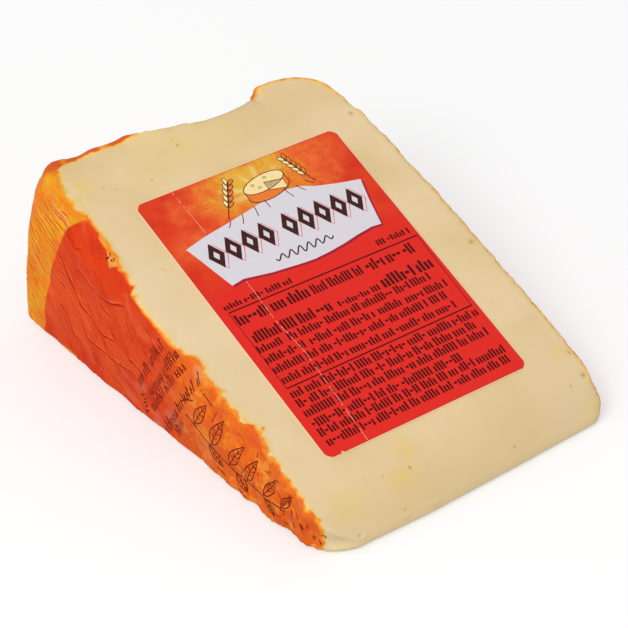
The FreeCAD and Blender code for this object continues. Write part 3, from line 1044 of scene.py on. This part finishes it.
# Rows of marks: (x, z) of the start and end, and how tall they are
chance = random.Random(21)
RIND_ROWS = [
    ((69.4, 7.6), (62.3, 20.4), 2.1), ((66.2, 7.2), (58.6, 20.6), 2.1), ((66.0, 4.0), (57.0, 18.8), 2.1),
    ((62.4, 1.2), (53.2, 18.0), 2.2), ((59.5, 2.2), (57.0, 7.4), 1.9), ((68.8, 6.0), (67.5, 2.4), 1.4),
]
for (x0, z0), (x1, z1), tall in RIND_ROWS:
    way = Vector((x1 - x0, z1 - z0))
    length = way.length
    way = way / length
    up = Vector((-way.y, way.x))
    if up.x < 0:
        up = -up
    place = 0.0
    word = chance.choice((4, 7, 9))
    while place < length - 0.6:
        foot = Vector((x0, z0)) + way * place
        lean = way * chance.uniform(0.15, 0.35)
        head = foot + (up + lean) * tall * chance.choice((0.6, 0.62, 0.95))
        rind_stroke([foot, head], 0.29)
        if chance.random() < 0.45:
            middle = foot + (head - foot) * chance.uniform(0.2, 0.9)
            rind_stroke([middle, middle + way * 0.5], 0.22)
        place += chance.uniform(0.65, 0.95)
        word -= 1
        if word == 0:
            word = chance.choice((2, 4, 6, 9))
            place += 0.7

# The sprig: a long stem, and leaves along both sides: (foot, which way, length, width)
STEM = [(31.0, 4.8), (36.0, 4.6), (41.5, 4.6), (47.0, 5.6), (52.0, 7.4), (56.5, 9.6)]
LEAVES = [
    (54.5, 118, 6.0, 2.2), (50.0, 112, 6.8, 2.4), (45.5, 120, 6.0, 2.2), (41.0, 112, 5.6, 2.1),
    (36.5, 122, 4.6, 1.9), (32.2, 124, 3.6, 1.6), (51.0, 222, 4.4, 2.2), (44.0, 216, 3.6, 1.9),
    (36.5, 218, 3.4, 1.8),
]
rind_stroke(STEM[::-1], 0.24)
for foot_x, lean, length, wide in LEAVES:
    foot = Vector((foot_x, read_off(STEM, foot_x)))
    turn = math.radians(lean)
    ahead = Vector((math.cos(turn), math.sin(turn)))
    beside = Vector((-ahead.y, ahead.x))
    for side in (-1, 1):
        outline = []
        for step in range(9):
            share = step / 8
            swell = side * wide / 2 * math.sin(math.pi * share ** 0.8)
            outline.append(foot + ahead * (0.6 + length * share) + beside * swell)
        rind_stroke(outline, 0.2)
        for rib in (0.3, 0.5, 0.7):
            start = foot + ahead * (0.6 + length * rib)
            tip = start + ahead * 0.7 + beside * side * wide * 0.34 * math.sin(math.pi * rib)
            rind_stroke([start, tip], 0.14)
    rind_stroke([foot, foot + ahead * (0.4 + length * 0.92)], 0.17)
# Short strokes like grass by the tip
for number in range(13):
    start_x = 22.8 + 0.72 * number + chance.uniform(-0.3, 0.3)
    start_z = chance.uniform(1.2, 0.22 * start_x)
    blade = chance.uniform(0.7, 1.3)
    rind_stroke([(start_x, start_z), (start_x + 0.35 * blade, start_z + blade)], 0.19)
# Loose strokes round the sprig, and two curls in the gap of the red print
LOOSE_STROKES = [
    (57.9, 11.5, 54.6, 13.6), (52.6, 16.2, 50.2, 15.0), (34.5, 8.6, 33.0, 9.6), (49.0, 2.6, 46.8, 1.9),
    (43.2, 1.6, 41.0, 1.3),
]
for x0, z0, x1, z1 in LOOSE_STROKES:
    rind_stroke([(x0, z0), ((x0 + x1) / 2 + 0.2, (z0 + z1) / 2 + 0.3), (x1, z1)], 0.2)
for curl_x, curl_z, size in ((85.2, 30.7, 0.38), (84.0, 30.7, 0.3)):
    curl = [(curl_x + size * math.cos(step * 0.7), curl_z + size * (0.3 + 0.08 * step) * math.sin(step * 0.7))
            for step in range(9)]
    rind_stroke(curl, 0.12, on_rind_lap)
made = bmesh.ops.extrude_face_region(rind_marks, geom=rind_marks.faces[:])
for part in made["geom"]:
    if isinstance(part, bmesh.types.BMVert):
        part.co.y -= 0.06 * MM
bmesh.ops.recalc_face_normals(rind_marks, faces=rind_marks.faces)
finished_piece("rind_marks", rind_marks, ink("rind_ink", (104, 12, 0), (124, 20, 2)))


# --------------------------------------------------------- Floor, light, camera
# A plain pale table top, a soft overhead light on its left, and an even sky.

floor_mesh = bpy.data.meshes.new("floor")
slab = bmesh.new()
bmesh.ops.create_grid(slab, x_segments=1, y_segments=1, size=6)
slab.to_mesh(floor_mesh)
slab.free()
floor = stood("floor", floor_mesh)
floor.location.z = -0.02 * MM
floor_finish = Finish("pale_floor", 0.9)
f = floor_finish
f.cover((200, 200, 200), 0.0)
light_path = f.node("ShaderNodeLightPath")
f.shader.inputs["Emission Color"].default_value = (1, 1, 1, 1)
f.fill(f.shader.inputs["Emission Strength"], f.math("MULTIPLY", light_path.outputs["Is Camera Ray"], 0.43))
floor_finish.onto(floor)

world = bpy.data.worlds.new("studio")
bpy.context.scene.world = world
world.use_nodes = True
sky = world.node_tree
background = sky.nodes["Background"]
background.inputs["Color"].default_value = (1, 1, 1, 1)
path = sky.nodes.new("ShaderNodeLightPath")
strength = sky.nodes.new("ShaderNodeMapRange")
strength.inputs["To Min"].default_value = 0.66
strength.inputs["To Max"].default_value = 1.0
sky.links.new(path.outputs["Is Camera Ray"], strength.inputs["Value"])
sky.links.new(strength.outputs[0], background.inputs["Strength"])


lamp = bpy.data.lights.new("key", "AREA")
lamp.shape = "SQUARE"
lamp.size = 0.5
lamp.energy = 6.0
lamp_stand = stood("key", lamp)
lamp_stand.location = (-0.3, 0.75, 0.75)
lamp_aim = Vector((0, 0, 0.01)) - lamp_stand.location
lamp_stand.rotation_euler = lamp_aim.to_track_quat("-Z", "Y").to_euler()

CAMERA_AIM = Vector((wheel_axis + 61.03, 0.68, 13.62)) * MM
CAMERA_DISTANCE = 0.457
CAMERA_AZIMUTH = math.radians(-130.61)      # 0 looks along +Y, 90 along -X
CAMERA_ELEVATION = math.radians(36.43)
CAMERA_ROLL = math.radians(1.61)

camera_data = bpy.data.cameras.new("camera")
camera_data.lens = 149.26
camera_data.sensor_width = 36
camera = stood("camera", camera_data)
back = Vector((math.sin(CAMERA_AZIMUTH) * math.cos(CAMERA_ELEVATION),
               -math.cos(CAMERA_AZIMUTH) * math.cos(CAMERA_ELEVATION),
               math.sin(CAMERA_ELEVATION)))
camera.location = CAMERA_AIM + back * CAMERA_DISTANCE
level = (-back).to_track_quat("-Z", "Y")
camera.rotation_euler = (level.to_matrix() @ Matrix.Rotation(CAMERA_ROLL, 3, "Z")).to_euler()
bpy.context.scene.camera = camera
bpy.context.scene.view_settings.view_transform = "Standard"
